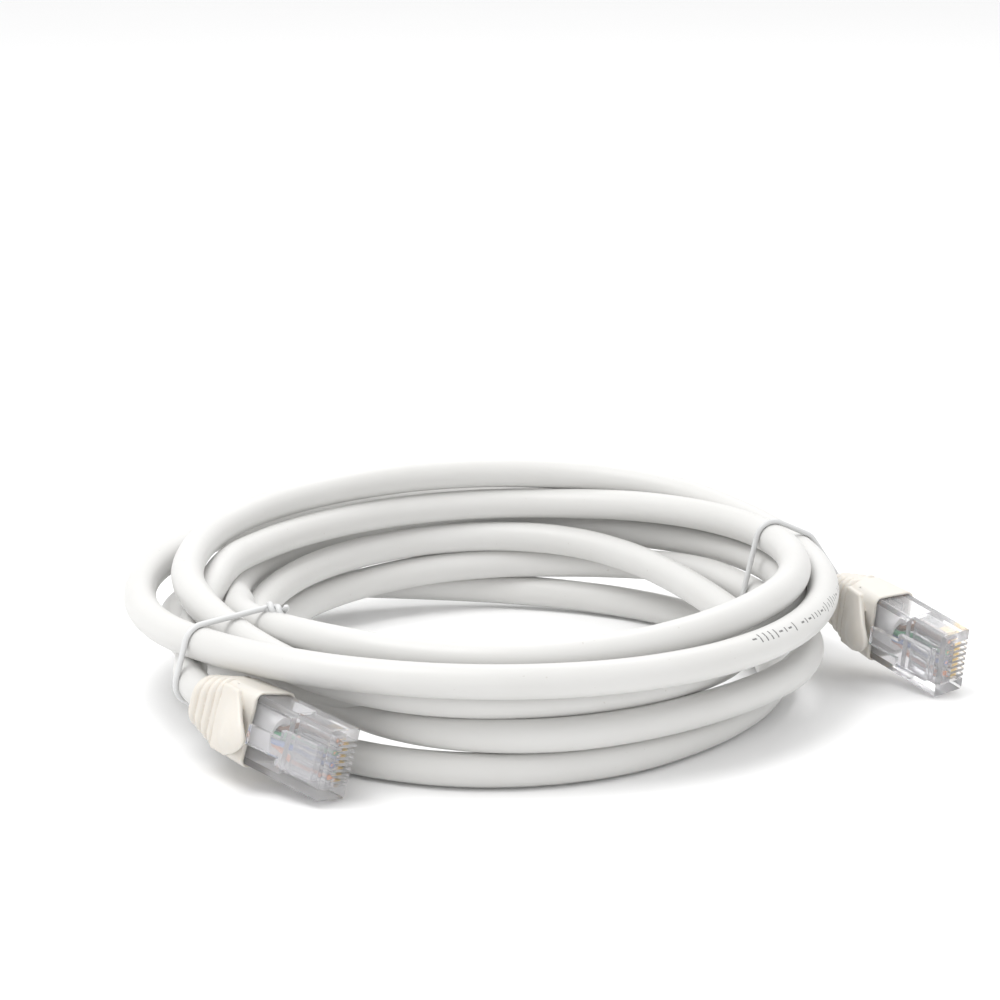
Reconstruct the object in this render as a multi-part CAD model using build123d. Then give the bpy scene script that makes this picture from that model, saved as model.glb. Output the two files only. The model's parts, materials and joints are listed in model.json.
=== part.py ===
from build123d import *
import os
from math import cos, pi, radians, sin, sqrt, tan

os.makedirs("parts", exist_ok=True)

# An ethernet patch cable, wound into a coil and tied twice, with a modular
# plug and a snagless boot at each end.  Frame: +Z up, the coil lies on Z = 0,
# and the origin is at the middle of the bottom of the whole object's box.

# ---------------------------------------------------------------- cable
CABLE_D = 5.6
TAIL_STRAIGHT = 4.0
COIL_CENTRE = (-11.7, 0.2)
COIL_HEIGHT = 28.3
COIL_EDGE_R = 2.6
# The coil's walls lean: each is lofted between an ellipse at the bottom and
# one at the top.  Values: centre x, centre y, half width, half depth, all
# from the coil's centre.
OUTER_BOTTOM = (8.0, 0.7, 52.0, 58.3)
OUTER_TOP = (0.0, 2.9, 61.6, 61.9)
INNER_BOTTOM = (3.5, 2.5, 39.5, 47.0)
INNER_TOP = (4.0, 3.0, 47.5, 50.0)

# ---------------------------------------------------------------- plug
# Local frame of a plug: x runs to the nose face at x = 0, y is the width and
# z is positive on the latch side.
PLUG_L = 21.5
PLUG_W = 11.68
PLUG_H = 6.6
PLUG_EDGE_R = 0.4
CAVITY_W = 9.4
CAVITY_H = 5.4
CAVITY_FRONT = -9.0
WALL_NOSE = 1.5

CONTACTS = 8
PITCH = 1.016
BLADE_T = 0.35
BLADE_L = 3.6
BLADE_FRONT = -0.9
BLADE_FACE_Z = -2.75
SLOT_W = 0.5
SLOT_L = 6.2
SLOT_TOP_Z = -0.1

WIRE_D = 0.94
CORE_D = 0.52
WIRE_Z = -0.4
ROW_OFFSET = 0.45
WIRE_FRONT = -1.7
FAN_FRONT = -8.6
FAN_REAR = -12.0
WIRE_REAR = -14.5
BUNDLE_R = 1.5

BAR_L = 6.6
BAR_W = 9.0
BAR_H = 2.7
BAR_FRONT = -1.7

JACKET_W = 6.4
JACKET_H = 4.7
JACKET_FRONT = -12.6
JACKET_BORE = 4.1
CLAMP_L = 3.6
CLAMP_W = 6.0
CLAMP_T = 0.7
CLAMP_X = -17.6

# ---------------------------------------------------------------- latch
LATCH_X = -1.4
LATCH_Z = 3.35
LATCH_ROLL_R = 0.5
LATCH_W = 6.0
LATCH_TAIL_W = 3.25
LATCH_SHOULDER = -8.4
LATCH_END = -14.8
LATCH_LIFT_ROOT = 0.40
LATCH_LIFT_END = 1.4
LATCH_T = 0.9
RUNNING_GAP = 0.05

# ---------------------------------------------------------------- boot
BOOT_REAR = -30.0
BOOT_NECK = -23.6
BOOT_FRONT = -14.5
BOOT_REAR_SIZE = (8.0, 7.4, 2.4)
BOOT_NECK_SIZE = (12.4, 8.0, 1.8)
BOOT_FRONT_SIZE = (12.9, 8.1, 1.1)
RIBS = 4
RIB_L = 0.95
RIB_DEPTH = 0.45
FIT_GAP = 0.05

TONGUE_X = -22.3
TONGUE_Z = 4.45
TONGUE_ROLL_R = 0.75
TONGUE_W = 10.6
TONGUE_T = 1.25
TONGUE_SHOULDER = (-19.5, 6.1)
TONGUE_CREST = (-16.8, 6.9)
TONGUE_TIP = (-14.0, 6.7)
TONGUE_RISE = (1, 0, 0.75)
TONGUE_DROP = (1, 0, -0.15)
TONGUE_NOTCH_R = 3.6

# ------------------------------------------- where each plug lies, in the frame
# nose centre, azimuth of the nose direction, its dip, and the roll that
# turns the latch side up, in degrees
PLACES = {
    "a": ((-33.4, -62.0, 6.3), -41.0, 9.5, 10.0),
    "b": ((70.0, -4.1, 6.1), -52.0, 12.0, -4.0),
}

# ---------------------------------------------------------------- twist ties
TIE_D = 1.0
TIE_WIRE_D = 0.45
TIE_GAP = 0.4
TIE_FLOOR_GAP = 0.1
TIE_BEND_R = 3.0
TIE_GROOVE = 1.5
TIE_TAIL_L = 7.0
TIE_TAIL_D = 1.7
# Direction of each tie's plane from the coil's centre, and the corners
# (radius, height) that take its outer leg round the cable's tail.
TIES = {
    "left": (209.0, [(60.3, 9.5), (61.8, 20.0)]),
    "right": (25.0, [(69.6, 8.0), (69.9, 18.0)]),
}


def block(x0, x1, y0, y1, z0, z1):
    """A box between two corners."""
    size = (x1 - x0, y1 - y0, z1 - z0)
    return Pos((x0 + x1) / 2, (y0 + y1) / 2, (z0 + z1) / 2) * Box(*size)


def plug_plane(nose, azimuth, dip, roll):
    """The plane whose x, y and z are a plug's length, width and latch side."""
    az, dp, ro = radians(azimuth), radians(dip), radians(roll)
    along = Vector(cos(dp) * cos(az), cos(dp) * sin(az), -sin(dp))
    level = Vector(sin(az), -cos(az), 0)
    up = level.cross(along)
    return Plane(origin=nose, x_dir=along, z_dir=level * cos(ro) + up * sin(ro))


def tube(points, diameter):
    """A tube along straight runs joined by arcs as large as the runs allow."""
    points = [Vector(p) for p in points]
    radii = []
    for before, at, after in zip(points, points[1:], points[2:]):
        first, second = at - before, after - at
        turn = radians(first.get_angle(second))
        radii.append(0.45 * min(first.length, second.length) / tan(turn / 2))
    path = FilletPolyline(*points, radius=radii)
    start = Plane(origin=points[0], z_dir=points[1] - points[0])
    solid = sweep(start * Circle(diameter / 2), path=path)
    section = pi * diameter**2 / 4
    print(f"tube radii {[round(r, 1) for r in radii]}, length {path.length:.1f},"
          f" volume ratio {solid.volume / (section * path.length):.4f}")
    return solid


# ================================================================= the plug
def wire_places():
    """Each wire's row place at the contacts and its place in the bundle."""
    places = []
    for i in range(CONTACTS):
        row_y = (i - (CONTACTS - 1) / 2) * PITCH
        side = 1 if i % 2 else -1
        slot = radians(157.5 - 45 * (i // 2))
        bundle = (BUNDLE_R * cos(slot), side * BUNDLE_R * sin(slot))
        places.append(((row_y, WIRE_Z + side * ROW_OFFSET), bundle))
    return places


def wire_path(row, bundle):
    return [
        (WIRE_FRONT, row[0], row[1]),
        (FAN_FRONT, row[0], row[1]),
        (FAN_REAR, bundle[0], bundle[1]),
        (WIRE_REAR, bundle[0], bundle[1]),
    ]


def wire_and_core(row, bundle):
    """An insulated conductor: the insulation as a tube, and its copper core."""
    points = [Vector(p) for p in wire_path(row, bundle)]
    path = FilletPolyline(*points, radius=1.2)
    start = Plane(origin=points[0], z_dir=points[1] - points[0])
    core = sweep(start * Circle(CORE_D / 2), path=path)
    full = sweep(start * Circle(WIRE_D / 2), path=path)
    return full - core, core


def contact_slots():
    slots = []
    for (y, _), _ in wire_places():
        slots.append(block(-SLOT_L, 1, y - SLOT_W / 2, y + SLOT_W / 2, -PLUG_H, SLOT_TOP_Z))
    return slots


def contacts():
    """Eight gold-plated blades, each standing on its wire."""
    blades = []
    for (y, z), _ in wire_places():
        top = z - WIRE_D / 2 - 0.01
        blade = block(BLADE_FRONT - BLADE_L, BLADE_FRONT, y - BLADE_T / 2, y + BLADE_T / 2,
                      BLADE_FACE_Z, top)
        outer = blade.edges().filter_by(Axis.Y).group_by(Axis.Z)[0]
        blades.append(fillet(outer, 0.4))
    return blades


def housing():
    """The clear moulded plug body, with its cavities, slots and latch seat."""
    body = block(-PLUG_L, 0, -PLUG_W / 2, PLUG_W / 2, -PLUG_H / 2, PLUG_H / 2)
    body = fillet(body.edges().filter_by(Axis.X), PLUG_EDGE_R)
    body -= block(-PLUG_L - 1, CAVITY_FRONT, -CAVITY_W / 2, CAVITY_W / 2,
                  -CAVITY_H / 2, CAVITY_H / 2)
    half_bar = BAR_H / 2 + FIT_GAP
    body -= block(CAVITY_FRONT - 1, -WALL_NOSE, -BAR_W / 2 - FIT_GAP, BAR_W / 2 + FIT_GAP,
                  WIRE_Z - half_bar, WIRE_Z + half_bar)
    for slot in contact_slots():
        body -= slot
    body -= block(CLAMP_X - CLAMP_L / 2 - 0.2, CLAMP_X + CLAMP_L / 2 + 0.2,
                  -CLAMP_W / 2 - 0.2, CLAMP_W / 2 + 0.2, -PLUG_H, 0)
    seat = Cylinder(LATCH_ROLL_R + RUNNING_GAP, LATCH_W + 2 * RUNNING_GAP)
    body -= Pos(LATCH_X, 0, LATCH_Z) * Rot(X=90) * seat
    return body


def load_bar():
    """The wire guide: a block drilled for eight wires and slotted for blades."""
    bar = block(BAR_FRONT - BAR_L, BAR_FRONT, -BAR_W / 2, BAR_W / 2,
                WIRE_Z - BAR_H / 2, WIRE_Z + BAR_H / 2)
    for (y, z), _ in wire_places():
        hole = Cylinder(WIRE_D / 2 + 0.03, 3 * BAR_L)
        bar -= Pos(BAR_FRONT - BAR_L / 2, y, z) * Rot(Y=90) * hole
        bar -= block(BLADE_FRONT - BLADE_L - 0.1, BAR_FRONT + 1, y - SLOT_W / 2,
                     y + SLOT_W / 2, -PLUG_H, z)
    return bar


def jacket_end():
    """The stripped end of the jacket, pressed oval by the strain relief."""
    section = Plane.YZ.offset(-PLUG_L) * (
        Ellipse(JACKET_W / 2, JACKET_H / 2) - Circle(JACKET_BORE / 2)
    )
    return extrude(section, PLUG_L + JACKET_FRONT)


def strain_relief_bar():
    """The bar of the housing that is pressed down on the jacket."""
    top = -JACKET_H / 2 - 0.01
    bar = block(CLAMP_X - CLAMP_L / 2, CLAMP_X + CLAMP_L / 2, -CLAMP_W / 2, CLAMP_W / 2,
                top - CLAMP_T, top)
    return chamfer(bar.edges().filter_by(Axis.Y).group_by(Axis.Z)[0], 0.25)


def latch():
    """The latch lever, with the roll that stands for its flexing root."""
    rear_l = LATCH_X - LATCH_END
    tilt = (LATCH_LIFT_END - LATCH_LIFT_ROOT) / (rear_l - LATCH_ROLL_R)

    def lower(x):
        return LATCH_Z + LATCH_LIFT_ROOT + tilt * (LATCH_X - LATCH_ROLL_R - x)

    outline = [
        (LATCH_X + LATCH_ROLL_R * 0.6, LATCH_Z),
        (LATCH_X - LATCH_ROLL_R * 0.7, LATCH_Z),
        (LATCH_X - LATCH_ROLL_R, lower(LATCH_X - LATCH_ROLL_R)),
        (LATCH_END, lower(LATCH_END)),
        (LATCH_END, lower(LATCH_END) + LATCH_T),
        (LATCH_X, LATCH_Z + LATCH_LIFT_ROOT + LATCH_T),
        (LATCH_X + LATCH_ROLL_R * 0.6, LATCH_Z + LATCH_LIFT_ROOT * 0.8),
    ]
    side = make_face(Polyline(*[(x, 0, z) for x, z in outline], close=True))
    lever = extrude(side, LATCH_W / 2, dir=(0, 1, 0), both=True)
    for sign in (-1, 1):
        inner, outer = sign * LATCH_TAIL_W / 2, sign * LATCH_W
        lever -= block(LATCH_END - 1, LATCH_SHOULDER, min(inner, outer), max(inner, outer),
                       LATCH_Z, LATCH_Z + 8)
    roll = Pos(LATCH_X, 0, LATCH_Z) * Rot(X=90) * Cylinder(LATCH_ROLL_R, LATCH_W)
    return lever + roll


# ================================================================= the boot
def boot_section(x, size):
    width, height, corner = size
    return Plane.YZ.offset(x) * RectangleRounded(width, height, corner)


def between(size_a, size_b, t):
    return tuple(a + (b - a) * t for a, b in zip(size_a, size_b))


def boot():
    """The strain relief with four ribs, and the hood over the plug's rear."""
    neck_core = tuple(v - 2 * RIB_DEPTH for v in BOOT_NECK_SIZE[:2]) + (1.4,)
    rear_core = tuple(v - 2 * RIB_DEPTH for v in BOOT_REAR_SIZE[:2]) + (2.0,)
    body = loft([boot_section(BOOT_REAR, rear_core), boot_section(BOOT_NECK, neck_core)])
    body += loft([boot_section(BOOT_NECK, BOOT_NECK_SIZE),
                  boot_section(BOOT_FRONT, BOOT_FRONT_SIZE)])
    step = (BOOT_NECK - BOOT_REAR) / RIBS
    for i in range(RIBS):
        x = BOOT_REAR + i * step
        size = between(BOOT_REAR_SIZE, BOOT_NECK_SIZE, i / RIBS)
        body += extrude(boot_section(x, size), RIB_L)
    body -= block(-PLUG_L - FIT_GAP, 0, -PLUG_W / 2 - FIT_GAP, PLUG_W / 2 + FIT_GAP,
                  -PLUG_H / 2 - FIT_GAP, PLUG_H / 2 + FIT_GAP)
    body -= block(TONGUE_X + TONGUE_ROLL_R, 0, -PLUG_W, PLUG_W, PLUG_H / 2 - 0.4, PLUG_H)
    body -= Pos(BOOT_REAR, 0, 0) * Rot(Y=90) * Cylinder(CABLE_D / 2 + FIT_GAP, 2 * PLUG_L)
    roll = Cylinder(TONGUE_ROLL_R + RUNNING_GAP, TONGUE_W + 2 * RUNNING_GAP)
    body -= Pos(TONGUE_X, 0, TONGUE_Z) * Rot(X=90) * roll
    return body


def boot_tongue():
    """The snagless arch over the latch, with the roll that stands for its root."""
    root = (TONGUE_X, TONGUE_Z)
    points = [(x, 0, z) for x, z in (root, TONGUE_SHOULDER, TONGUE_CREST, TONGUE_TIP)]
    line = Spline(*points, tangents=[TONGUE_RISE, TONGUE_DROP])
    start = Plane(origin=points[0], x_dir=(0, 1, 0), z_dir=TONGUE_RISE)
    arch = sweep(start * Rectangle(TONGUE_W, TONGUE_T), path=line)
    for sign in (-1, 1):
        notch = Cylinder(TONGUE_NOTCH_R, 20)
        arch -= Pos(TONGUE_TIP[0], sign * TONGUE_W / 2, TONGUE_TIP[1]) * notch
    roll = Pos(TONGUE_X, 0, TONGUE_Z) * Rot(X=90) * Cylinder(TONGUE_ROLL_R, TONGUE_W)
    return arch + roll


# ================================================================= the coil
def ring_ellipse(values, z):
    cx, cy, half_w, half_d = values
    centre = (COIL_CENTRE[0] + cx, COIL_CENTRE[1] + cy, z)
    return Plane(origin=centre) * Ellipse(half_w, half_d)


def reach(values, angle):
    """Distance from the coil's centre to an ellipse, in a given direction."""
    cx, cy, half_w, half_d = values
    dx, dy = cos(radians(angle)), sin(radians(angle))
    qa = (dx / half_w) ** 2 + (dy / half_d) ** 2
    qb = -2 * (dx * cx / half_w**2 + dy * cy / half_d**2)
    qc = (cx / half_w) ** 2 + (cy / half_d) ** 2 - 1
    return (-qb + sqrt(qb * qb - 4 * qa * qc)) / (2 * qa)


def coil_point(radius, angle, z):
    return (COIL_CENTRE[0] + radius * cos(radians(angle)),
            COIL_CENTRE[1] + radius * sin(radians(angle)), z)


def coil():
    """The wound cable's outer shape: a ring with leaning walls."""
    outer = loft([ring_ellipse(OUTER_BOTTOM, 0), ring_ellipse(OUTER_TOP, COIL_HEIGHT)])
    inner = loft([ring_ellipse(INNER_BOTTOM, 0), ring_ellipse(INNER_TOP, COIL_HEIGHT)])
    ring = outer - inner
    by_height = ring.edges().group_by(Axis.Z)
    ring = fillet(by_height[0] + by_height[-1], COIL_EDGE_R)
    for angle, _ in TIES.values():
        groove = Pos(*coil_point(0, 0, 0)) * Rot(Z=angle) * block(
            20, 80, -TIE_GROOVE / 2, TIE_GROOVE / 2, -1, TIE_GROOVE)
        ring -= groove
    return ring


def twist_tie(angle, round_tail):
    """A plastic-covered wire round the coil, with its twisted tail, and its core."""
    off = TIE_D / 2 + TIE_GAP
    low, high = TIE_D / 2 + TIE_FLOOR_GAP, COIL_HEIGHT + off
    section = [
        (reach(OUTER_BOTTOM, angle) + off, low),
        *round_tail,
        (reach(OUTER_TOP, angle) + off, high),
        (reach(INNER_TOP, angle) - off, high),
        (reach(INNER_BOTTOM, angle) - off, low),
    ]
    corners = [Vector(coil_point(r, angle, z)) for r, z in section]
    path = FilletPolyline(*corners, radius=TIE_BEND_R, close=True)
    begin = Plane(origin=path @ 0, z_dir=path % 0)
    cover = sweep(begin * Circle(TIE_D / 2), path=path)
    core = sweep(begin * Circle(TIE_WIRE_D / 2), path=path)
    inner_top = corners[-2]
    inward = (Vector(*coil_point(0, 0, inner_top.Z)) - inner_top).normalized()
    tail_at = Plane(origin=inner_top - inward * TIE_BEND_R, z_dir=inward)
    cover += extrude(tail_at * Circle(TIE_TAIL_D / 2), TIE_TAIL_L)
    return cover - core, core


# ================================================================= the cord
def cord_tail(end):
    """The uncoiled cable between a boot and the coil."""
    plane = plug_plane(*PLACES[end])
    leave = plane.from_local_coords(Vector(-PLUG_L - FIT_GAP, 0, 0))
    out = plane.from_local_coords(Vector(BOOT_REAR - TAIL_STRAIGHT, 0, 0))
    if end == "a":
        onward = [coil_point(54.3, 210, 14.3)]
    else:
        onward = [coil_point(65.2, 40, 17.0), coil_point(64.4, 56, 19.4), coil_point(60.5, 73, 20.4)]
    return tube([leave, out] + onward, CABLE_D)


def save(name, shape):
    solids = shape if isinstance(shape, list) else [shape]
    if len(solids) > 1:
        shape = Compound(children=[s.solid() for s in solids])
    else:
        shape = solids[0]
    export_step(shape, f"parts/{name}.step")


def main():
    ring = coil()
    save("cable_coil", ring)
    for end in PLACES:
        placed = plug_plane(*PLACES[end]).location
        pieces = {
            "housing": housing(),
            "latch": latch(),
            "load_bar": load_bar(),
            "jacket_end": jacket_end(),
            "strain_relief_bar": strain_relief_bar(),
            "boot": boot(),
            "boot_tongue": boot_tongue(),
        }
        for name, shape in pieces.items():
            save(f"plug_{end}_{name}", placed * shape)
        for i, blade in enumerate(contacts(), 1):
            save(f"plug_{end}_contact_{i}", placed * blade)
        cores = []
        for i, (row, bundle) in enumerate(wire_places(), 1):
            insulation, core = wire_and_core(row, bundle)
            save(f"plug_{end}_wire_{i}", placed * insulation)
            cores.append(placed * core)
        save(f"plug_{end}_copper_cores", cores)
        save(f"cable_tail_{end}", cord_tail(end) - ring)
    for side, (angle, round_tail) in TIES.items():
        cover, wire = twist_tie(angle, round_tail)
        save(f"tie_{side}_cover", cover)
        save(f"tie_{side}_wire", wire)


main()
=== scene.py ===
import bmesh
import bpy
import json
import numpy as np
from math import atan2, cos, hypot, pi, radians, sin
from mathutils import Matrix, Vector


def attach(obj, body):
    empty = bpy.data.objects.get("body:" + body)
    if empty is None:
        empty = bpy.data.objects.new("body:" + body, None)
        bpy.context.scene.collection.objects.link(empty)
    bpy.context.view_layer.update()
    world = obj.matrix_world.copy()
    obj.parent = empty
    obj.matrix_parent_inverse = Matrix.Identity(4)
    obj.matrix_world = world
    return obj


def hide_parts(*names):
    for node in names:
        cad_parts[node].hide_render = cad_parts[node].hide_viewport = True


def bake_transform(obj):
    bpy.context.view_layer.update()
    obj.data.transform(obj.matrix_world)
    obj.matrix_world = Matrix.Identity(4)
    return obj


# An ethernet patch cable, wound into a coil and tied twice, with a clear
# modular plug and an ivory snagless boot at each end.
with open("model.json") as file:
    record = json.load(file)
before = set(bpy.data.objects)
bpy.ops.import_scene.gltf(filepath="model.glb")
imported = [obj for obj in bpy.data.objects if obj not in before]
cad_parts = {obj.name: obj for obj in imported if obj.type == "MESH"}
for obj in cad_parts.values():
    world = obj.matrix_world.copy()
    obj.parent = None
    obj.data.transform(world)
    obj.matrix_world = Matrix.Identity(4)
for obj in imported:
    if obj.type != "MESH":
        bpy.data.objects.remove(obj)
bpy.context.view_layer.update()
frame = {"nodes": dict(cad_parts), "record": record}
MM = 0.001

# ------------------------------------------------------------------ the cord
CABLE_D = 5.6
COIL_CENTRE = (-11.7, 0.2)
PLUG_L = 21.5
BOOT_REAR = -30.0
TAIL_STRAIGHT = 4.0
TAIL_GAP = 0.05              # between the plug's rear and the cord's first point
STEP = 15.0                  # degrees between the coil's control points
SPLINE_RESOLUTION = 10
SAME_POINT = 0.2             # closer points of the sampled line are taken as one
CABLE_SIDES = 28

# The coil, one list for each turn: degrees travelled (clockwise seen from
# above, from the left), radius and height in mm.
TURNS = [
    [(-30, 54.3, 14.3), (-15, 49.4, 16.4), (0, 46.3, 18.2), (15, 45.9, 19.9), (30, 46.4, 19.6),
     (60, 50.5, 19.7), (90, 55.8, 20), (105, 57.2, 20.2), (120, 56.6, 21.3), (150, 56.2, 22.2),
     (180, 54.6, 22.4), (210, 53, 22.2), (240, 51.5, 20.6), (270, 49.9, 19.7),
     (300, 46.4, 20.1), (315, 44.8, 19.6), (345, 42, 17)],
    [(0, 41, 15.3), (15, 45.2, 14.4), (30, 49, 14.1), (45, 54, 14.3), (75, 60, 14.5),
     (105, 60.6, 14.8), (135, 59, 16), (165, 55.5, 16.7), (195, 52.8, 16.9),
     (210, 49.8, 17.5), (225, 46.2, 17.4), (240, 46.3, 15.8), (270, 47.4, 14.2),
     (285, 46, 12.4), (300, 46.6, 12), (315, 47.4, 11.8), (330, 49.3, 11.5), (345, 50.6, 11.3)],
    [(0, 52.8, 11.7), (15, 55.3, 11.1), (30, 57.9, 9.8), (45, 59.3, 7.9), (75, 57.3, 4.3),
     (105, 55.6, 3.0), (130, 54.4, 2.85), (180, 51.3, 2.85), (205, 49.8, 2.85),
     (228, 50.7, 2.85), (248, 53.6, 2.85), (270, 54.3, 2.85), (294, 51, 2.85),
     (315, 46.5, 2.9)],
    [(0, 41, 4.2), (30, 43.8, 5.2), (60, 50, 6.9), (90, 54.6, 8.7), (105, 56.8, 8.8),
     (120, 57.8, 9.8), (135, 55, 11.6), (150, 51.5, 12.9), (165, 54.4, 11.2),
     (180, 57.2, 9.3), (195, 56.6, 8.5), (210, 54.2, 8.3), (225, 53.2, 8.3),
     (270, 53.9, 8.5), (285, 50, 8.6), (300, 43, 8.7), (315, 42.3, 9.2)],
    [(0, 38.7, 10.1), (30, 43.5, 11.4), (60, 50.3, 12.9), (90, 55, 14), (105, 54.8, 14),
     (120, 51.8, 13.1), (150, 46, 11.1), (165, 45.5, 10.8), (180, 45.9, 11.2),
     (210, 47.6, 12), (225, 50, 12.9), (240, 51.5, 13.3), (270, 53.2, 13.9),
     (285, 52.4, 14.3), (300, 51.6, 15.5), (315, 50.5, 17.7), (330, 50.1, 19.9),
     (345, 50.6, 21.7)],
    [(0, 50, 23), (30, 50.5, 24.5), (60, 52.5, 25.5), (90, 56.5, 26), (105, 59, 25.5),
     (120, 62, 24.6), (135, 62.3, 22.4), (150, 61.6, 20.6), (180, 59.5, 18.7),
     (210, 58.3, 18.0), (240, 57.6, 17.9), (270, 57, 18.3), (315, 57.3, 18.6),
     (340, 58.3, 18.1)],
    [(0, 58.6, 18.5), (45, 60.6, 19.0), (75, 62.9, 20), (105, 64.8, 19.6), (140, 65.2, 17)],
]


def plug_matrix(end):
    """The plug's local frame in mm: x to the nose, y across, z to the latch side."""
    mount = next(m for m in frame["record"]["mounts"] if m["name"] == f"plug_{end}")
    joint = next(j for j in frame["record"]["behaviour"]["joints"]
                 if j["name"] == f"tongue_{end}_press")
    x_axis = Vector(mount["axis"]).normalized()
    y_axis = Vector(joint["axis"]).normalized()
    z_axis = x_axis.cross(y_axis)
    place = Matrix((x_axis, y_axis, z_axis)).transposed().to_4x4()
    place.translation = Vector(mount["pos_m"])
    return place @ Matrix.Scale(MM, 4)


PLUG = {end: plug_matrix(end) for end in "ab"}


def smooth_between(stations, t, column):
    """Cubic interpolation through the stations, level with their neighbours."""
    xs = [s[0] for s in stations]
    ys = [s[column] for s in stations]
    slopes = np.gradient(np.array(ys, float), np.array(xs, float))
    i = min(max(int(np.searchsorted(xs, t, side="right")) - 1, 0), len(xs) - 2)
    h = xs[i + 1] - xs[i]
    u = (t - xs[i]) / h
    return (ys[i] * (2 * u**3 - 3 * u**2 + 1) + h * slopes[i] * (u**3 - 2 * u**2 + u)
            + ys[i + 1] * (3 * u**2 - 2 * u**3) + h * slopes[i + 1] * (u**3 - u**2))


def coil_points():
    """Control points of the coil's turns, in metres."""
    stations = [(t + 360 * k, r, z) for k, turn in enumerate(TURNS) for t, r, z in turn]
    first, last = stations[0][0], stations[-1][0]
    count = round((last - first) / STEP)
    # a spline of order 3 runs inside its control points by this share
    outside = 0.75 + 0.25 * cos(radians(STEP))
    points = []
    for i in range(count + 1):
        t = first + (last - first) * i / count
        r = smooth_between(stations, t, 1) / outside
        angle = radians(180 - t)
        points.append(Vector((COIL_CENTRE[0] + r * cos(angle), COIL_CENTRE[1] + r * sin(angle),
                              smooth_between(stations, t, 2))) * MM)
    return points


def tail_points(end):
    """The cord's straight start out of a boot."""
    return [PLUG[end] @ Vector((-PLUG_L - TAIL_GAP, 0, 0)),
            PLUG[end] @ Vector((BOOT_REAR - TAIL_STRAIGHT, 0, 0))]


def nurbs_line(points, resolution):
    """Points along the smooth spline that has these control points."""
    data = bpy.data.curves.new("route", "CURVE")
    data.dimensions = "3D"
    spline = data.splines.new("NURBS")
    spline.points.add(len(points) - 1)
    for point, co in zip(spline.points, points):
        point.co = (*co, 1)
    spline.order_u = 3
    spline.use_endpoint_u = True
    spline.resolution_u = resolution
    holder = bpy.data.objects.new("route", data)
    bpy.context.scene.collection.objects.link(holder)
    bpy.context.view_layer.update()
    mesh = bpy.data.meshes.new_from_object(holder.evaluated_get(
        bpy.context.evaluated_depsgraph_get()))
    line = [v.co.copy() for v in mesh.vertices]
    bpy.data.objects.remove(holder)
    bpy.data.meshes.remove(mesh)
    kept = [line[0]]
    for co in line[1:]:
        if (co - kept[-1]).length > SAME_POINT * MM:
            kept.append(co)
    return kept


def new_piece(name, verts, faces, body="root", material=None):
    """A smooth-shaded mesh object that rides on a body, if one is given."""
    mesh = bpy.data.meshes.new(name)
    mesh.from_pydata([tuple(v) for v in verts], [], faces)
    mesh.validate()
    mesh.update()
    piece = bpy.data.objects.new(name, mesh)
    bpy.context.scene.collection.objects.link(piece)
    mesh.shade_smooth()
    if material:
        mesh.materials.append(material)
    if body:
        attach(piece, body)
    return piece


def tube_mesh(line, radius_at, sides, closed=False):
    """Rings along a line, carried without twisting, and where each vertex is: its
    distance along and its turn from the top, both seen the same way all along."""
    count = len(line)
    tangents = []
    for i in range(count):
        before = line[(i - 1) % count] if closed else line[max(i - 1, 0)]
        after = line[(i + 1) % count] if closed else line[min(i + 1, count - 1)]
        tangents.append((after - before).normalized())
    side = tangents[0].orthogonal().normalized()
    verts, places, s = [], [], 0.0
    for i, co in enumerate(line):
        if i:
            s += (co - line[i - 1]).length
            side = (side - tangents[i] * side.dot(tangents[i])).normalized()
        other = tangents[i].cross(side)
        for j in range(sides):
            angle = 2 * pi * j / sides
            r = radius_at(s, angle)
            out = side * cos(angle) + other * sin(angle)
            verts.append(co + out * r)
            upward = Vector((0, 0, 1)) - tangents[i] * tangents[i].z
            inward = tangents[i].cross(upward)
            places.append((s, atan2(out.dot(inward), out.dot(upward)) / (2 * pi)))
    rows = count if closed else count - 1
    faces = [[i * sides + j, i * sides + (j + 1) % sides,
              ((i + 1) % count) * sides + (j + 1) % sides, ((i + 1) % count) * sides + j]
             for i in range(rows) for j in range(sides)]
    if not closed:
        faces.append(list(range(sides))[::-1])
        faces.append([(count - 1) * sides + j for j in range(sides)])
    return verts, faces, places


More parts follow.
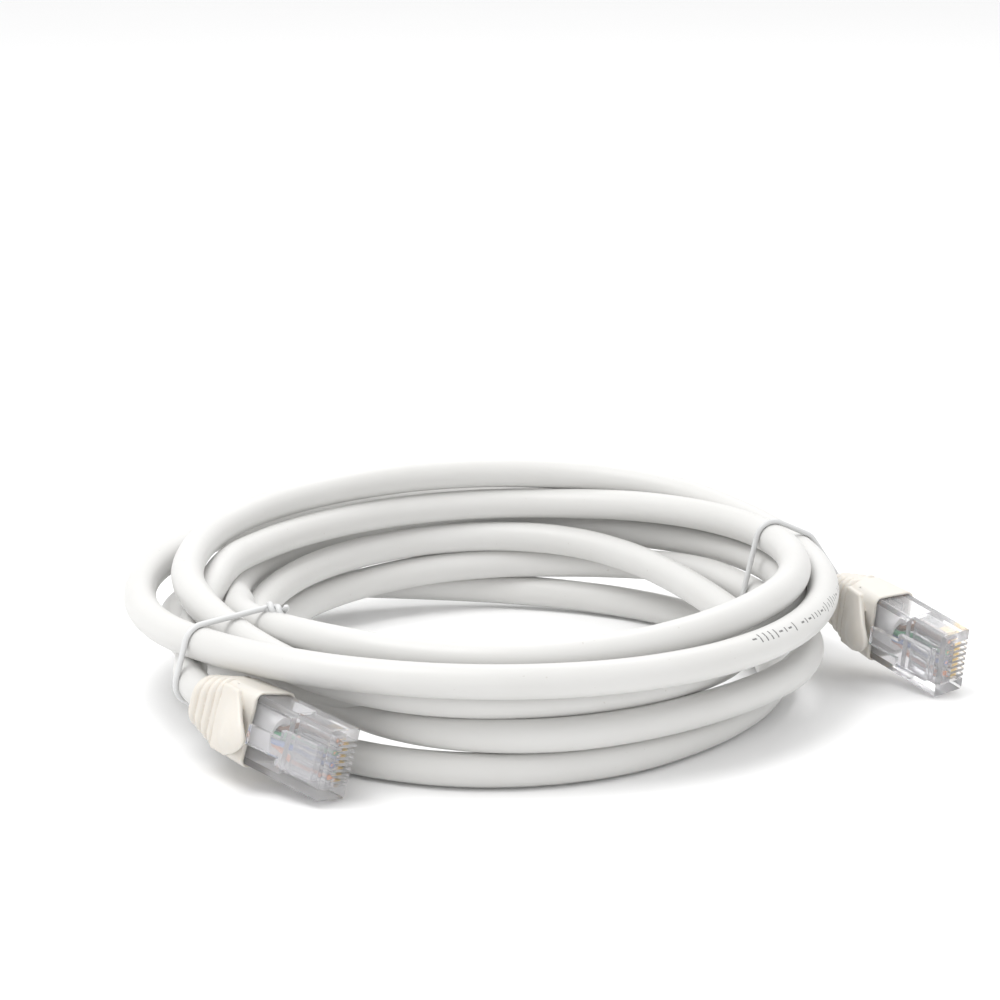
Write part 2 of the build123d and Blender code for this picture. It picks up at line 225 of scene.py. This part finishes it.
# ------------------------------------------------------------------ materials
class Nodes:
    """A short way to write a procedural material."""

    def __init__(self, name):
        self.material = bpy.data.materials.new(name)
        self.material.use_nodes = True
        self.tree = self.material.node_tree
        self.bsdf = next(n for n in self.tree.nodes if n.type == "BSDF_PRINCIPLED")
        self.coords = self.tree.nodes.new("ShaderNodeTexCoord")

    def add(self, kind, **values):
        node = self.tree.nodes.new(kind)
        for key, value in values.items():
            setattr(node, key, value)
        return node

    def link(self, source, target):
        self.tree.links.new(source, target)

    def math(self, operation, a, b=None, clamp=False):
        node = self.add("ShaderNodeMath", operation=operation, use_clamp=clamp)
        for socket, value in zip(node.inputs, (a, b)):
            if value is None:
                continue
            if isinstance(value, (int, float)):
                socket.default_value = value
            else:
                self.link(value, socket)
        return node.outputs[0]

    def noise(self, scale, detail=3.0, vector=None):
        node = self.add("ShaderNodeTexNoise")
        node.inputs["Scale"].default_value = scale
        node.inputs["Detail"].default_value = detail
        self.link(vector or self.coords.outputs["Object"], node.inputs["Vector"])
        return node.outputs["Fac"]

    def ramp(self, value, stops):
        node = self.add("ShaderNodeValToRGB")
        for element, (at, colour) in zip(node.color_ramp.elements, stops):
            element.position = at
            element.color = (*colour, 1)
        self.link(value, node.inputs["Fac"])
        return node.outputs["Color"]

    def mix(self, factor, a, b):
        node = self.add("ShaderNodeMix", data_type="RGBA")
        for socket, value in ((node.inputs["Factor"], factor), (node.inputs["A"], a),
                              (node.inputs["B"], b)):
            if isinstance(value, tuple):
                socket.default_value = (*value, 1)
            elif isinstance(value, float):
                socket.default_value = value
            else:
                self.link(value, socket)
        return node.outputs["Result"]

    def bump(self, height, distance, strength=1.0):
        node = self.add("ShaderNodeBump")
        node.inputs["Distance"].default_value = distance
        node.inputs["Strength"].default_value = strength
        self.link(height, node.inputs["Height"])
        self.link(node.outputs["Normal"], self.bsdf.inputs["Normal"])

    def set(self, **values):
        for key, value in values.items():
            self.bsdf.inputs[key.replace("_", " ")].default_value = value


def moulded(name, light, dark, roughness=(0.35, 0.5), grain=900.0, depth=0.00002,
            painted_groove_shade=None, **values):
    """A moulded plastic: slight colour drift, uneven gloss, a fine grain, and, where it is
    given, a painted shade that darkens its grooves and hollows towards a warm tan."""
    nodes = Nodes(name)
    drift = nodes.noise(60.0)
    colour = nodes.ramp(drift, [(0.3, dark), (0.7, light)])
    # painted shade: where pointiness finds the surface concave, as in the ribs' grooves, the
    # colour is darkened towards the given shade colour
    if painted_groove_shade:
        hollow = nodes.add("ShaderNodeNewGeometry").outputs["Pointiness"]
        groove_shade_mask = nodes.math("MULTIPLY", nodes.math("SUBTRACT", 0.5, hollow), 9.0, clamp=True)
        colour = nodes.mix(groove_shade_mask, colour, painted_groove_shade)
    nodes.link(colour, nodes.bsdf.inputs["Base Color"])
    gloss = nodes.noise(grain / 3, 4.0)
    low, high = roughness
    nodes.link(nodes.math("ADD", nodes.math("MULTIPLY", gloss, high - low), low),
               nodes.bsdf.inputs["Roughness"])
    nodes.bump(nodes.noise(grain, 4.0), depth)
    nodes.set(**values)
    return nodes.material


PRINT_RUN = (1966, 2024)     # degrees travelled where the printed line starts and ends
PRINT_PITCH = 0.0014         # metres from one printed mark to the next
PRINT_TURN = -0.235          # where the line starts round the jacket, in turns from the top
PRINT_DRIFT = 0.15           # how far it wanders round by its end


def cable_material(print_start, print_end):
    """White satin PVC, with a line of generic dashes printed along part of it."""
    nodes = Nodes("cable_pvc")
    split = nodes.add("ShaderNodeSeparateXYZ")
    uv = nodes.add("ShaderNodeUVMap", uv_map="along")
    nodes.link(uv.outputs["UV"], split.inputs["Vector"])
    s, around = split.outputs["X"], split.outputs["Y"]
    drift = nodes.noise(45.0)
    body = nodes.ramp(drift, [(0.3, (0.625, 0.62, 0.605)), (0.7, (0.655, 0.651, 0.638))])
    speck = nodes.math("GREATER_THAN", nodes.noise(1100.0, 1.0), 0.79)
    body = nodes.mix(nodes.math("MULTIPLY", speck, 0.35), body, (0.45, 0.42, 0.38))

    cell = nodes.math("DIVIDE", s, PRINT_PITCH)
    middle = nodes.math("ABSOLUTE", nodes.math("SUBTRACT", nodes.math("FRACT", cell), 0.5))
    pick = nodes.add("ShaderNodeTexWhiteNoise", noise_dimensions="1D")
    nodes.link(nodes.math("FLOOR", cell), pick.inputs["W"])
    pick = pick.outputs["Value"]
    along = nodes.math("DIVIDE", nodes.math("SUBTRACT", s, print_start),
                       print_end - print_start)
    turn = nodes.math("ADD", nodes.math("MULTIPLY", along, PRINT_DRIFT), PRINT_TURN)
    reach = nodes.math("ABSOLUTE", nodes.math("SUBTRACT", around, turn))

    def block(half_width, half_height, low, high):
        """A plain mark of this size, in the cells whose random value is in the range."""
        chosen = nodes.math("MULTIPLY", nodes.math("GREATER_THAN", pick, low),
                            nodes.math("LESS_THAN", pick, high))
        shape = nodes.math("MULTIPLY", nodes.math("LESS_THAN", middle, half_width),
                           nodes.math("LESS_THAN", reach, half_height))
        return nodes.math("MULTIPLY", chosen, shape)

    mark = nodes.math("ADD", block(0.11, 0.052, 0.0, 0.34), block(0.11, 0.028, 0.34, 0.56))
    mark = nodes.math("ADD", mark, block(0.36, 0.010, 0.56, 0.88), clamp=True)
    inside = nodes.math("MULTIPLY", nodes.math("GREATER_THAN", s, print_start),
                        nodes.math("LESS_THAN", s, print_end))
    worn = nodes.math("GREATER_THAN", nodes.noise(2600.0, 2.0), 0.36)
    ink = nodes.math("MULTIPLY", nodes.math("MULTIPLY", mark, inside), worn)
    ink = nodes.math("MULTIPLY", ink, 0.82)
    nodes.link(nodes.mix(ink, body, (0.05, 0.05, 0.05)), nodes.bsdf.inputs["Base Color"])
    nodes.link(nodes.math("ADD", nodes.math("MULTIPLY", nodes.noise(300.0), 0.16), 0.34),
               nodes.bsdf.inputs["Roughness"])
    fine = nodes.math("MULTIPLY", nodes.noise(1500.0, 4.0), 0.25)
    nodes.bump(nodes.math("ADD", nodes.noise(210.0, 2.0), fine), 0.00006, 0.7)
    nodes.set(Subsurface_Weight=0.12, Subsurface_Radius=(0.0016, 0.0015, 0.0014),
              Subsurface_Scale=1.0, Specular_IOR_Level=0.42)
    return nodes.material


def clear_plastic(name, tint, rough):
    """Clear moulded polycarbonate with flow lines and slightly uneven faces."""
    nodes = Nodes(name)
    flow = nodes.noise(380.0, 3.0)
    nodes.link(nodes.ramp(flow, [(0.25, tint), (0.8, (0.99, 0.99, 1.0))]),
               nodes.bsdf.inputs["Base Color"])
    nodes.link(nodes.math("ADD", nodes.math("MULTIPLY", nodes.noise(700.0), 0.08), rough),
               nodes.bsdf.inputs["Roughness"])
    nodes.bump(nodes.noise(500.0, 2.0), 0.00003, 0.6)
    nodes.set(IOR=1.2, Transmission_Weight=0.86)
    return nodes.material


def striped_wire(name, base, stripe):
    """White insulation with a thin coloured stripe running round it."""
    nodes = Nodes(name)
    wave = nodes.add("ShaderNodeTexWave", wave_type="BANDS", bands_direction="DIAGONAL")
    wave.inputs["Scale"].default_value = 190.0
    wave.inputs["Distortion"].default_value = 1.5
    nodes.link(nodes.coords.outputs["Object"], wave.inputs["Vector"])
    band = nodes.math("GREATER_THAN", wave.outputs["Fac"], 0.86)
    nodes.link(nodes.mix(band, base, stripe), nodes.bsdf.inputs["Base Color"])
    nodes.link(nodes.math("ADD", nodes.math("MULTIPLY", nodes.noise(900.0), 0.2), 0.3),
               nodes.bsdf.inputs["Roughness"])
    nodes.bump(nodes.noise(1800.0), 0.00001)
    return nodes.material


def metal(name, light, dark, roughness):
    """A metal with slight colour drift and uneven gloss."""
    nodes = Nodes(name)
    nodes.link(nodes.ramp(nodes.noise(800.0, 4.0), [(0.3, dark), (0.75, light)]),
               nodes.bsdf.inputs["Base Color"])
    nodes.link(nodes.math("ADD", nodes.math("MULTIPLY", nodes.noise(1500.0), 0.2), roughness),
               nodes.bsdf.inputs["Roughness"])
    nodes.bump(nodes.noise(3000.0), 0.00001)
    nodes.set(Metallic=1.0)
    return nodes.material


# ------------------------------------------------------------------ the cable
def run_to(line, degrees):
    """How far along the line the coil has turned by this much."""
    middle = Vector((*COIL_CENTRE, 0)) * MM
    travelled, s, before = None, 0.0, None
    for a, b in zip(line, line[1:]):
        s += (b - a).length
        seen = 180 - atan2(b.y - middle.y, b.x - middle.x) * 180 / pi
        if travelled is None:
            travelled = (seen + 180) % 360 - 180
        else:
            travelled += (seen - before + 180) % 360 - 180
        before = seen
        if travelled >= degrees:
            break
    return s


def cable():
    """The jacketed cable from plug to plug as one tube; returns the line it follows."""
    controls = tail_points("a") + coil_points() + tail_points("b")[::-1]
    line = nurbs_line(controls, SPLINE_RESOLUTION)

    def radius_at(s, angle):
        swell = 0.006 * sin(s * 310 + 2 * sin(s * 83)) + 0.004 * sin(2 * angle + s * 57)
        return CABLE_D / 2 * MM * (0.997 + swell * 0.5)

    verts, faces, places = tube_mesh(line, radius_at, CABLE_SIDES)
    material = cable_material(*(run_to(line, degrees) for degrees in PRINT_RUN))
    piece = new_piece("cable", verts, faces, material=material)
    layer = piece.data.uv_layers.new(name="along")
    for polygon in piece.data.polygons:
        corners = [piece.data.loops[i].vertex_index for i in polygon.loop_indices]
        base = places[corners[0]][1]
        for i, v in zip(polygon.loop_indices, corners):
            s, around = places[v]
            layer.data[i].uv = (s, around - round(around - base))
    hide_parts("cable_coil", "cable_tail_a", "cable_tail_b")
    return line


# ------------------------------------------------------------------ the boots
BOOT_NECK = -23.6
BOOT_FRONT_LATCH = -16.2
BOOT_FRONT_BACK = -14.7
BOOT_HALF_H = 4.1
REAR_SECTION = (8.3, 7.7, 3.4)       # width, height and corner radius
NECK_SECTION = (12.2, 8.2, 2.3)
FRONT_SECTION = (12.8, 8.15, 1.5)
POCKET_SECTION = (11.8, 6.74, 0.7)
BORE_R = 2.84
RIBS = 4
GROOVE_DEPTH = 0.7
WALL_SIDES = 128
WALL_RINGS = 110


def rounded_section(width, height, corner, turn):
    """A point of a rounded rectangle, by its share of the way round."""
    flat_y, flat_z, arc = width / 2 - corner, height / 2 - corner, pi * corner / 2
    quarter = flat_y + flat_z + arc
    step, walk = divmod(turn * 4 * quarter, quarter)
    if step % 2:
        walk = quarter - walk
    if walk < flat_z:
        y, z = width / 2, walk
    elif walk < flat_z + arc:
        bend = (walk - flat_z) / corner
        y, z = flat_y + corner * cos(bend), flat_z + corner * sin(bend)
    else:
        y, z = quarter - walk, height / 2
    return (y if step in (0, 3) else -y), (z if step < 2 else -z)


def ramp_to(a, b, x0, x1, x):
    """From a at x0 to b at x1 in a straight line, and level beyond them."""
    t = min(max((x - x0) / (x1 - x0), 0.0), 1.0)
    return a + (b - a) * t


def ease(t):
    """A smooth step from 0 to 1."""
    t = min(max(t, 0.0), 1.0)
    return t * t * (3 - 2 * t)


def boot_outer(x, turn):
    """A point of the boot's outside at a place along it."""
    if x < BOOT_NECK:
        ends, span = (REAR_SECTION, NECK_SECTION), (BOOT_REAR, BOOT_NECK)
    else:
        ends, span = (NECK_SECTION, FRONT_SECTION), (BOOT_NECK, BOOT_FRONT_BACK)
    width, height, corner = (ramp_to(a, b, *span, x) for a, b in zip(*ends))
    y, z = rounded_section(width, height, corner, turn)
    pitch = (BOOT_NECK + 0.3 - BOOT_REAR) / RIBS
    phase = (x - BOOT_REAR) / pitch
    if 0.5 < phase < RIBS + 0.5:
        fade = ease((abs(z) / (height / 2) - 0.10) / 0.45)
        depth = GROOVE_DEPTH * fade * (1 - abs(sin(pi * phase)) ** 0.55)
        scale = 1 - depth / (height / 2)
        y, z = y * (1 - depth / (width / 2)), z * scale
    if phase < 0.35:
        edge = 1 - 0.10 * (1 - phase / 0.35) ** 2
        y, z = y * edge, z * edge
    return y, z


def boot_front(z):
    """Where the hood's front edge is: it leans back on the latch side."""
    lean = (z / BOOT_HALF_H + 1) / 2
    return BOOT_FRONT_BACK + (BOOT_FRONT_LATCH - BOOT_FRONT_BACK) * lean


def boot_body():
    """The boot as one closed skin: outside, front rim, plug pocket and cable bore."""
    rings = [("out", i / WALL_RINGS) for i in range(WALL_RINGS + 1)]
    rings += [("in", 0.0), ("in", 0.5), ("in", 1.0), ("bore", 0.0), ("bore", 1.0)]
    verts = []
    for kind, t in rings:
        for j in range(WALL_SIDES):
            turn = j / WALL_SIDES
            if kind == "out":
                y, z = boot_outer(BOOT_NECK, turn)
                x = BOOT_REAR + (boot_front(z) - BOOT_REAR) * t
                y, z = boot_outer(x, turn)
            elif kind == "in":
                y, z = rounded_section(*POCKET_SECTION, turn)
                x = boot_front(z) + (-PLUG_L - boot_front(z)) * t
            else:
                y, z = BORE_R * cos(2 * pi * turn), BORE_R * sin(2 * pi * turn)
                x = -PLUG_L + (BOOT_REAR + PLUG_L) * t
            verts.append((x, y, z))
    rows = len(rings)
    faces = [[i * WALL_SIDES + j, ((i + 1) % rows) * WALL_SIDES + j,
              ((i + 1) % rows) * WALL_SIDES + (j + 1) % WALL_SIDES,
              i * WALL_SIDES + (j + 1) % WALL_SIDES]
             for i in range(rows) for j in range(WALL_SIDES)]
    return verts, faces


TONGUE_LINE = [(-23.2, 3.6), (-21.4, 4.5), (-19.2, 6.1), (-16.6, 7.0), (-14.1, 6.75)]
TONGUE_HALF_W = 5.5
TONGUE_FOOT_X = -19.6
TONGUE_T = 1.15
TONGUE_ACROSS, TONGUE_ALONG = 36, 26
VOXEL, VOXEL_QUICK = 0.16, 0.22


def tongue_point(u, v):
    """The middle of the tongue's wall: u across it from -1 to 1, v from root to edge."""
    bell = abs(cos(pi / 2 * (u + 0.2 * (1 - u * u)))) ** 1.3
    root_x, root_z = TONGUE_LINE[0]
    x = root_x + (TONGUE_FOOT_X + (TONGUE_LINE[-1][0] - TONGUE_FOOT_X) * bell - root_x) * v
    z = smooth_between(TONGUE_LINE, x, 1)
    return Vector((x, u * TONGUE_HALF_W, root_z + (z - root_z) * (0.13 + 0.87 * bell)))


def tongue_body():
    """The arch as a closed solid with a rounded front edge."""
    across, along = TONGUE_ACROSS, TONGUE_ALONG
    tops, unders = [], []
    nudge = 0.01
    for i in range(along + 1):
        v = i / along
        for j in range(across + 1):
            u = -1 + 2 * j / across
            p = tongue_point(u, v)
            du = tongue_point(min(u + nudge, 1), v) - tongue_point(max(u - nudge, -1), v)
            dv = tongue_point(u, min(v + nudge, 1)) - tongue_point(u, max(v - nudge, 0))
            normal = dv.cross(du).normalized()
            if normal.z < 0:
                normal = -normal
            rim = min(1.0, (1 - v) / 0.06 + 0.25, (1 - abs(u)) / 0.05 + 0.4)
            half = TONGUE_T / 2 * rim**0.5
            tops.append(p + normal * half)
            unders.append(p - normal * half)
    verts = tops + unders
    n, w = len(tops), across + 1
    faces = []
    for i in range(along):
        for j in range(across):
            a = i * w + j
            faces.append([a, a + 1, a + w + 1, a + w])
            faces.append([n + a, n + a + w, n + a + w + 1, n + a + 1])
    border = ([j for j in range(across)] + [i * w + across for i in range(along)]
              + [along * w + j for j in range(across, 0, -1)]
              + [i * w for i in range(along, 0, -1)])
    for a, b in zip(border, border[1:] + border[:1]):
        faces.append([a, n + a, n + b, b])
    return verts, faces


def apply_modifiers(piece):
    """Bakes a piece's modifiers into its mesh."""
    bpy.context.view_layer.update()
    graph = bpy.context.evaluated_depsgraph_get()
    mesh = bpy.data.meshes.new_from_object(piece.evaluated_get(graph))
    old = piece.data
    piece.modifiers.clear()
    piece.data = mesh
    bpy.data.meshes.remove(old)


def boot(end, material):
    """Boot and tongue remeshed into one moulding, the tongue rising from its root on the boot.
    """
    place = PLUG[end]
    verts, faces = boot_body()
    arch_verts, arch_faces = tongue_body()
    shift = len(verts)
    verts = [place @ Vector(v) for v in [*verts, *arch_verts]]
    faces = faces + [[shift + i for i in face] for face in arch_faces]
    piece = new_piece(f"boot_{end}_skin", verts, faces, body=None,
                      material=material)
    shape = bmesh.new()
    shape.from_mesh(piece.data)
    bmesh.ops.recalc_face_normals(shape, faces=shape.faces)
    shape.to_mesh(piece.data)
    shape.free()
    remesh = piece.modifiers.new("one_skin", "REMESH")
    remesh.mode = "VOXEL"
    remesh.voxel_size = VOXEL * MM
    remesh.use_smooth_shade = True
    soften = piece.modifiers.new("soften", "SMOOTH")
    soften.factor = 0.6
    soften.iterations = 4
    apply_modifiers(piece)
    piece.data.shade_smooth()
    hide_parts(f"plug_{end}_boot", f"plug_{end}_boot_tongue")
    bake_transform(piece)
    return piece


# ------------------------------------------------------------------ the ties
TIE_R = 0.5
TIE_SIDES = 12
TIE_STEP = 0.5               # between the loop's points
CIRCLE_POINTS = 40           # round each strand that a tie goes round
KNOT_L = 4.2
KNOT_TURNS = 1.25
KNOT_POINTS = 48
TIES = {"left": (218.5, 40.0), "right": (20.0, 48.0)}    # plan angle, innermost radius


def crossings(line, angle, innermost):
    """Where the cord crosses a plane through the coil's middle: (radius, height), mm."""
    direction = Vector((cos(radians(angle)), sin(radians(angle)), 0))
    normal = Vector((-direction.y, direction.x, 0))
    middle = Vector((COIL_CENTRE[0], COIL_CENTRE[1], 0)) * MM
    found = []
    for a, b in zip(line, line[1:]):
        da, db = (a - middle).dot(normal), (b - middle).dot(normal)
        if da * db <= 0 and (a - middle).dot(direction) > innermost * MM:
            p = a.lerp(b, da / (da - db)) - middle
            found.append((p.dot(direction) / MM, p.z / MM))
    return found


def hull(points):
    """The convex outline of points in a plane, anticlockwise."""
    points = sorted(set(points))

    def half(ordered):
        chain = []
        for p in ordered:
            while len(chain) > 1 and ((chain[-1][0] - chain[-2][0]) * (p[1] - chain[-2][1])
                                      <= (chain[-1][1] - chain[-2][1]) * (p[0] - chain[-2][0])):
                chain.pop()
            chain.append(p)
        return chain[:-1]

    return half(points) + half(points[::-1])


def tie(side, line, material):
    """A plastic-covered wire drawn tight round the turns, and its twisted ends."""
    angle, innermost = TIES[side]
    direction = Vector((cos(radians(angle)), sin(radians(angle)), 0))
    middle = Vector((COIL_CENTRE[0], COIL_CENTRE[1], 0))
    away = CABLE_D / 2 + TIE_R
    circles = [(round(r + away * cos(2 * pi * k / CIRCLE_POINTS), 4),
                round(max(z + away * sin(2 * pi * k / CIRCLE_POINTS), TIE_R + 0.05), 4))
               for r, z in crossings(line, angle, innermost) for k in range(CIRCLE_POINTS)]
    outline = hull(circles)
    loop = []
    for (r0, z0), (r1, z1) in zip(outline, outline[1:] + outline[:1]):
        pieces = max(1, round(hypot(r1 - r0, z1 - z0) / TIE_STEP))
        for k in range(pieces):
            f = k / pieces
            loop.append((middle + direction * (r0 + (r1 - r0) * f)
                         + Vector((0, 0, z0 + (z1 - z0) * f))) * MM)
    verts, faces, _ = tube_mesh(loop, lambda s, a: TIE_R * MM, TIE_SIDES, closed=True)
    top = max(z for _, z in outline)
    across = Vector((-direction.y, direction.x, 0))
    if side == "left":
        inner = min(r for r, z in outline if z > top - 3)
        start = middle + direction * (inner + 3.4) + Vector((0, 0, top + 0.1))
        run = (across - direction * 0.3 - Vector((0, 0, 0.12))).normalized()
    else:
        inner = min(r for r, _ in outline)
        start = middle + direction * (inner - 0.3) + Vector((0, 0, 8))
        run = Vector((0, 0, -1))
    beside = run.orthogonal().normalized()
    above = run.cross(beside)
    for strand in (0, 1):
        path = []
        for k in range(KNOT_POINTS):
            f = k / (KNOT_POINTS - 1)
            spread = 0.52 + 0.6 * ease((f - 0.75) / 0.25)
            turn = pi * strand + 2 * pi * KNOT_TURNS * f
            path.append((start + run * (KNOT_L * f) + beside * (spread * cos(turn))
                         + above * (spread * sin(turn))) * MM)
        more, more_faces, _ = tube_mesh(path, lambda s, a: TIE_R * MM, TIE_SIDES)
        shift = len(verts)
        verts += more
        faces += [[shift + i for i in face] for face in more_faces]
    piece = new_piece(f"tie_{side}", verts, faces, material=material)
    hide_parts(f"tie_{side}_cover", f"tie_{side}_wire")


# ------------------------------------------------------------------ the plugs
LATCH_EDGE = 0.12
WHITE = (0.86, 0.86, 0.84)
COLOURS = {"orange": (0.82, 0.25, 0.05), "green": (0.04, 0.33, 0.14),
           "blue": (0.04, 0.15, 0.50), "brown": (0.22, 0.10, 0.04)}
# in the order of contacts 1 to 8
PAIRS = ("white_orange", "orange", "white_green", "blue", "white_blue", "green",
         "white_brown", "brown")


def solid_wire(colour):
    value = COLOURS[colour]
    return moulded(f"wire_{colour}", value, tuple(c * 0.8 for c in value), (0.3, 0.45))


def plug_looks():
    """The plug's materials, the wires' as a list in the order of the contacts."""
    looks = {
        "clear": clear_plastic("clear_polycarbonate", (0.95, 0.945, 0.96), 0.03),
        "jacket": moulded("jacket_end", (0.84, 0.84, 0.83), (0.80, 0.80, 0.79)),
        "copper": metal("copper", (0.85, 0.45, 0.28), (0.70, 0.32, 0.18), 0.25),
        "gold": metal("gold", (0.95, 0.72, 0.30), (0.85, 0.60, 0.20), 0.2),
    }
    insulation = {}
    for colour, value in COLOURS.items():
        insulation[colour] = solid_wire(colour)
        insulation[f"white_{colour}"] = striped_wire(f"wire_white_{colour}", WHITE, value)
    looks["wires"] = [insulation[name] for name in PAIRS]
    return looks


def dress(node, material):
    """Gives a carried-over CAD node its material."""
    piece = frame["nodes"][node]
    piece.data.materials.clear()
    piece.data.materials.append(material)


def round_edges(node, width):
    """Softens a carried-over node's edges, as a moulding has them."""
    bevel = frame["nodes"][node].modifiers.new("edges", "BEVEL")
    bevel.width = width * MM
    bevel.segments = 2
    bevel.limit_method = "ANGLE"
    bevel.angle_limit = radians(40)


def plug(end, looks):
    """Dresses one plug's carried-over nodes."""
    for part in ("housing", "load_bar", "strain_relief_bar", "latch"):
        dress(f"plug_{end}_{part}", looks["clear"])
    round_edges(f"plug_{end}_latch", LATCH_EDGE)
    dress(f"plug_{end}_jacket_end", looks["jacket"])
    dress(f"plug_{end}_copper_cores", looks["copper"])
    for i in range(1, 9):
        dress(f"plug_{end}_contact_{i}", looks["gold"])
        dress(f"plug_{end}_wire_{i}", looks["wires"][i - 1])


# ------------------------------------------------------------------ the stage
FLOOR_Z = -0.0002
# name, place, size and power of each area light
LIGHTS = (("key", (-0.30, -0.15, 0.80), 0.5, 3.6), ("back", (0.15, 0.55, 0.75), 0.6, 1.6))
CAMERA_PLACE = (-8.1, -567.9, 169.4)
CAMERA_PITCH = 13.4          # degrees below level
CAMERA_LENS, CAMERA_SENSOR = 122.04, 36.0


def stage():
    """A white room with a pale floor and two soft lights."""
    world = bpy.data.worlds.new("studio")
    bpy.context.scene.world = world
    world.use_nodes = True
    world.node_tree.nodes["Background"].inputs["Color"].default_value = (1, 1, 1, 1)
    world.node_tree.nodes["Background"].inputs["Strength"].default_value = 1.0
    bpy.context.scene.view_settings.view_transform = "Standard"
    nodes = Nodes("pale_floor")
    pale, paler = (0.90, 0.90, 0.90), (0.92, 0.92, 0.92)
    nodes.link(nodes.ramp(nodes.noise(3.0), [(0.0, pale), (1.0, paler)]),
               nodes.bsdf.inputs["Base Color"])
    nodes.set(Roughness=0.9)
    mesh = bpy.data.meshes.new("floor")
    corners = ((-3, -3), (3, -3), (3, 9), (-3, 9))
    mesh.from_pydata([(x, y, FLOOR_Z) for x, y in corners], [], [[0, 1, 2, 3]])
    mesh.materials.append(nodes.material)
    floor = bpy.data.objects.new("floor", mesh)
    bpy.context.scene.collection.objects.link(floor)
    for name, place, size, energy in LIGHTS:
        data = bpy.data.lights.new(name, "AREA")
        data.shape = "DISK"
        data.size = size
        data.energy = energy
        light = bpy.data.objects.new(name, data)
        light.location = place
        light.rotation_euler = (-Vector(place)).to_track_quat("-Z", "Y").to_euler()
        bpy.context.scene.collection.objects.link(light)


def camera():
    data = bpy.data.cameras.new("camera")
    data.lens = CAMERA_LENS
    data.sensor_width = CAMERA_SENSOR
    eye = bpy.data.objects.new("camera", data)
    eye.location = tuple(v * MM for v in CAMERA_PLACE)
    eye.rotation_euler = (radians(90 - CAMERA_PITCH), 0, 0)
    bpy.context.scene.collection.objects.link(eye)
    bpy.context.scene.camera = eye


# ------------------------------------------------------------------ the whole
camera()
stage()
# the boot's moulding; its third colour is the painted shade laid into the grooves between the
# ribs
ivory = moulded("boot_pvc", (0.67, 0.64, 0.59), (0.64, 0.605, 0.55),
                painted_groove_shade=(0.46, 0.38, 0.29), Subsurface_Weight=0.15,
                Subsurface_Radius=(0.0018, 0.0014, 0.001), Subsurface_Scale=1.0)
boots = {end: boot(end, ivory) for end in "ab"}
route = cable()
white_plastic = moulded("tie_plastic", (0.66, 0.665, 0.665), (0.62, 0.625, 0.625), (0.22, 0.38))
for side in TIES:
    tie(side, route, white_plastic)
looks = plug_looks()
for end in "ab":
    plug(end, looks)
